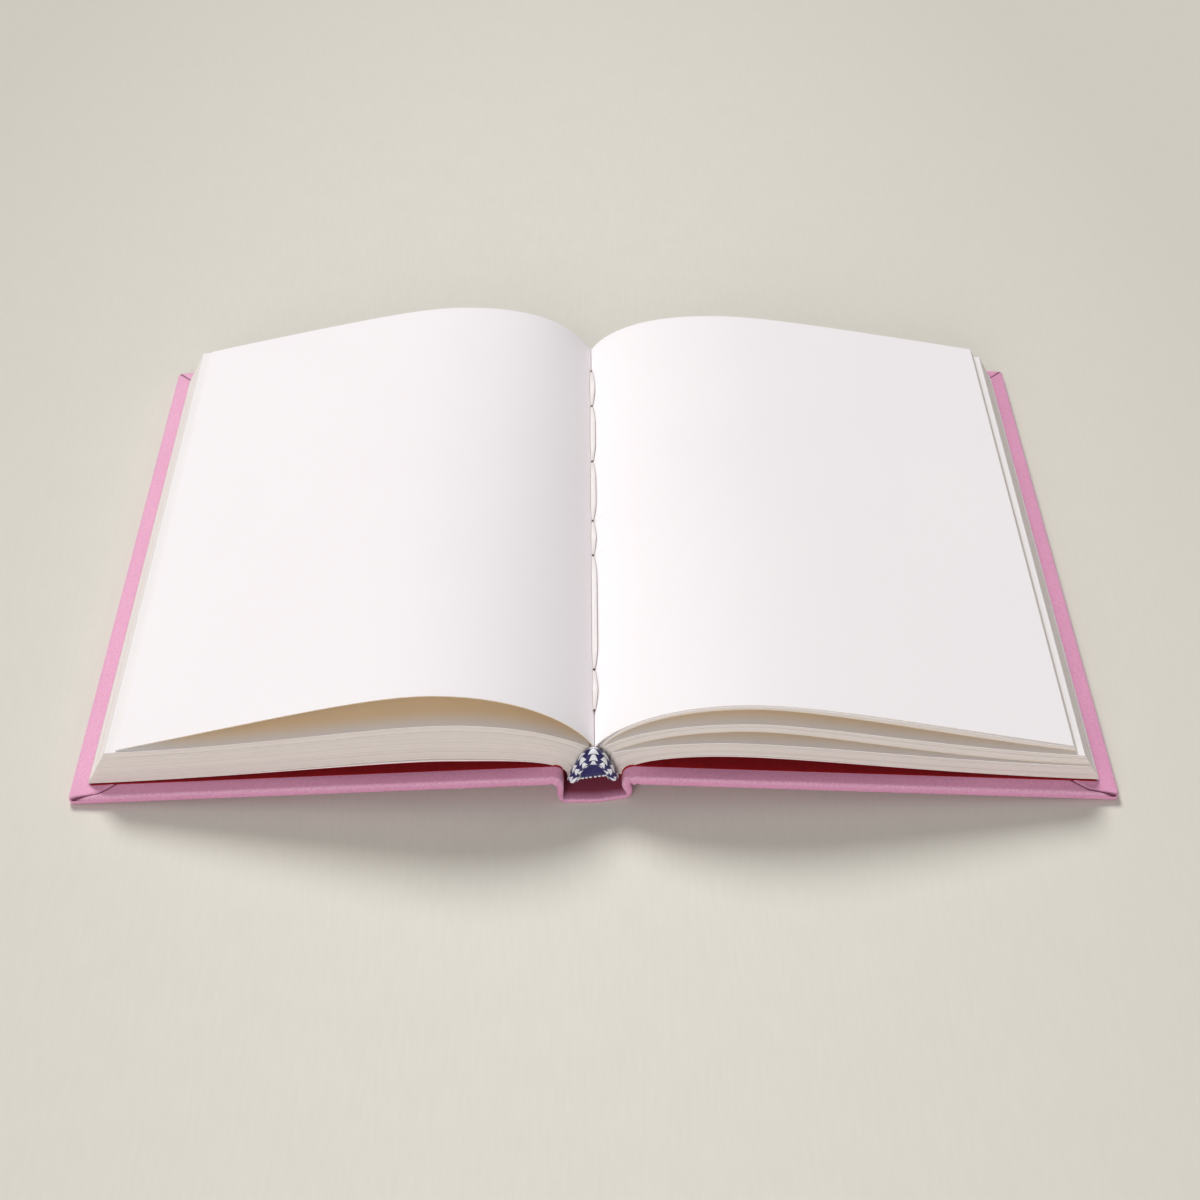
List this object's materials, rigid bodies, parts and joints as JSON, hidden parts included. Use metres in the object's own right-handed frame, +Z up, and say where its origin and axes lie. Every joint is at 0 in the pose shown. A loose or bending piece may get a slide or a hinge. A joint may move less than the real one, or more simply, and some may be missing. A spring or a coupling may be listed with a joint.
{
  "type": "open case-bound notebook",
  "caption": "Thick blank hardcover notebook lying open at its middle, with arched pages, checked bands and covers that hinge at the cloth joints.",
  "frame": {"origin": "on the table, under the middle of the spine", "axes": "+X across the opening to the right half, +Y along the spine from tail to head, +Z up from the table"},
  "size_m": [0.3076, 0.223, 0.0379],
  "materials": {
    "pages": "smooth uncoated white paper",
    "lining": "open-weave starched cotton",
    "band": "woven navy band with white checks",
    "thread": "waxed linen thread",
    "cover_cloth": "fine-grained pink book cloth with a soft sheen",
    "greyboard": "grey binder's board",
    "endpaper": "matt deep red endpaper"
  },
  "bodies": {
    "text_block": {"page_block": "pages", "left_flyleaf": "pages", "right_flyleaf": "pages", "spine_lining": "lining", "head_band": "band", "tail_band": "band", "sewing_thread": "thread", "spine_cloth": "cover_cloth", "spine_inlay": "greyboard"},
    "left_cover": {"left_board": "greyboard", "left_cover_cloth": "cover_cloth", "left_pastedown": "endpaper"},
    "right_cover": {"right_board": "greyboard", "right_cover_cloth": "cover_cloth", "right_pastedown": "endpaper"}
  },
  "joints": [
    {"name": "left_cover_hinge", "type": "hinge", "parent": "text_block", "child": "left_cover", "pos_m": [-0.0113, 0, 0.0072], "axis": [0, -1, 0], "range_deg": [0, 87]},
    {"name": "right_cover_hinge", "type": "hinge", "parent": "text_block", "child": "right_cover", "pos_m": [0.0113, 0, 0.0072], "axis": [0, 1, 0], "range_deg": [0, 87]}
  ]
}
